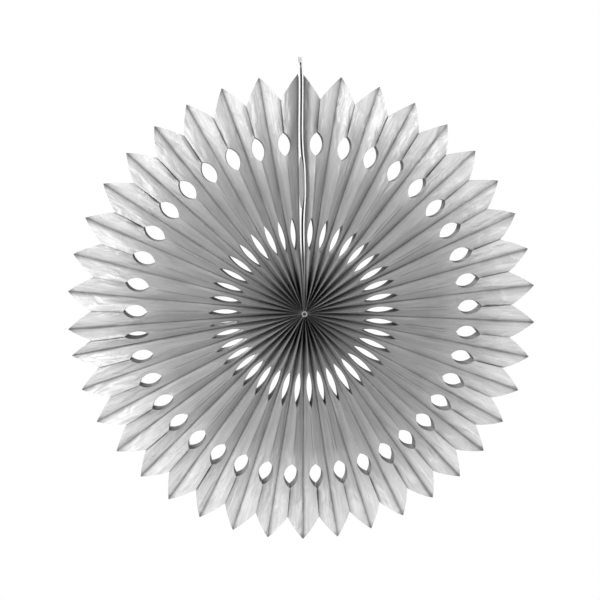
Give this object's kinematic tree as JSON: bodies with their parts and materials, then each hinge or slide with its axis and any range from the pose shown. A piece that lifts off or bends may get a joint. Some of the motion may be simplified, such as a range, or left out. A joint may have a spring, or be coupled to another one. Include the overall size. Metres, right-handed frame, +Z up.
{
  "type": "paper fan rosette",
  "caption": "Round hanging fan of pleated silver-grey tissue with pointed petals and lens-shaped cut-outs, closed at the top by card strips with a hanging hole.",
  "frame": {"origin": "middle of the hub, on the axis of the centre hole and halfway through the fan's depth", "axes": "+Z up through the closing seam and the card strips, +Y from the front of the fan to its back, +X to the right seen from the front"},
  "size_m": [0.4, 0.031, 0.4132],
  "materials": {
    "tissue": "matt silver-grey tissue",
    "card": "plain white card",
    "tape": "pale grey paper tape",
    "thread": "pale grey sewing thread"
  },
  "bodies": {
    "root": {"tissue_fan": "tissue", "card_strip_left": "card", "card_strip_right": "card", "closing_pad": "tape", "closing_tape": "tape", "centre_thread": "thread"}
  },
  "joints": []
}
